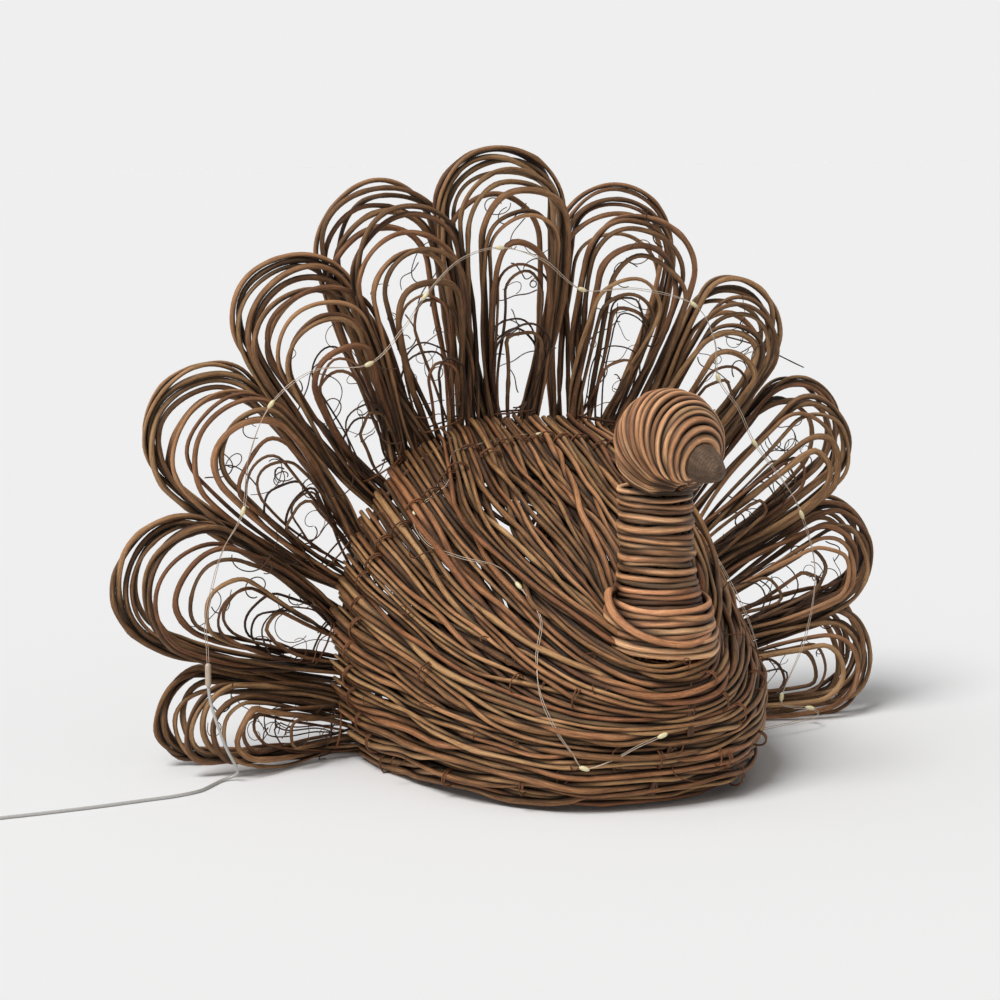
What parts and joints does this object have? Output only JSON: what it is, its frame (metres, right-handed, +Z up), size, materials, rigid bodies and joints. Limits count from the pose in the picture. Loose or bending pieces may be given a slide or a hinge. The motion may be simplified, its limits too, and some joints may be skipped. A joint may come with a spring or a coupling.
{
  "type": "turkey figure",
  "caption": "Seasonal turkey figure woven from vine rods, with a fan tail of looped petals, a wound neck and head, and a battery-lit string of small lights.",
  "frame": {"origin": "on the floor under the middle of the figure's own box, without its lead and battery box", "axes": "+Z up, the bird looks towards -Y, its tail spreads along X"},
  "size_m": [0.6392, 0.2432, 0.3509],
  "materials": {
    "brown_vine": "matt",
    "dark_vine": "matt",
    "tan_vine": "matt",
    "bark": "matt",
    "steel_wire": "satin",
    "clear_wire": "clear",
    "case_plastic": "satin",
    "cell_wrap": "gloss"
  },
  "bodies": {
    "figure": {"body_course_01": "dark_vine", "body_course_02": "brown_vine", "body_course_03": "dark_vine", "body_course_04": "brown_vine", "body_course_05": "dark_vine", "body_course_06": "brown_vine", "body_course_07": "dark_vine", "body_course_08": "brown_vine", "body_course_09": "dark_vine", "body_course_10": "brown_vine", "body_course_11": "dark_vine", "body_course_12": "brown_vine", "body_course_13": "dark_vine", "ridge_course_1": "dark_vine", "ridge_course_2": "brown_vine", "ridge_course_3": "dark_vine", "ridge_course_4": "brown_vine", "ridge_course_5": "dark_vine", "ridge_course_6": "brown_vine", "neck_winding": "tan_vine", "neck_core": "bark", "head_winding": "tan_vine", "head_core": "bark", "beak": "bark", "tail_petal_01": "brown_vine", "tail_petal_02": "dark_vine", "tail_petal_03": "brown_vine", "tail_petal_04": "dark_vine", "tail_petal_05": "brown_vine", "tail_petal_06": "dark_vine", "tail_petal_07": "brown_vine", "tail_petal_08": "dark_vine", "tail_petal_09": "brown_vine", "tail_petal_10": "dark_vine", "tail_petal_11": "brown_vine", "wire_frame": "steel_wire", "frame_hoop": "steel_wire", "frame_ring": "steel_wire", "frame_rib_back": "steel_wire", "frame_rib_1": "steel_wire", "frame_rib_2": "steel_wire", "frame_rib_3": "steel_wire", "tail_clamp_wire": "steel_wire", "tie_strip_1": "bark", "tie_strip_2": "bark", "tie_strip_3": "bark", "light_string": "clear_wire", "lead_splice": "case_plastic", "lead_cord": "clear_wire", "lead_coil": "clear_wire", "battery_case": "case_plastic", "contact_near": "steel_wire", "contact_far": "steel_wire", "battery_1": "cell_wrap", "battery_2": "cell_wrap", "battery_3": "cell_wrap", "strain_relief": "case_plastic"},
    "cover": {"battery_cover": "case_plastic"},
    "switch": {"slide_switch": "bark"}
  },
  "joints": [
    {"name": "cover_slide", "type": "slide", "parent": "figure", "child": "cover", "axis": [0, 1, 0], "range_m": [0, 0.056]},
    {"name": "switch_slide", "type": "slide", "parent": "figure", "child": "switch", "axis": [1, 0, 0], "range_m": [0, 0.0058]}
  ]
}
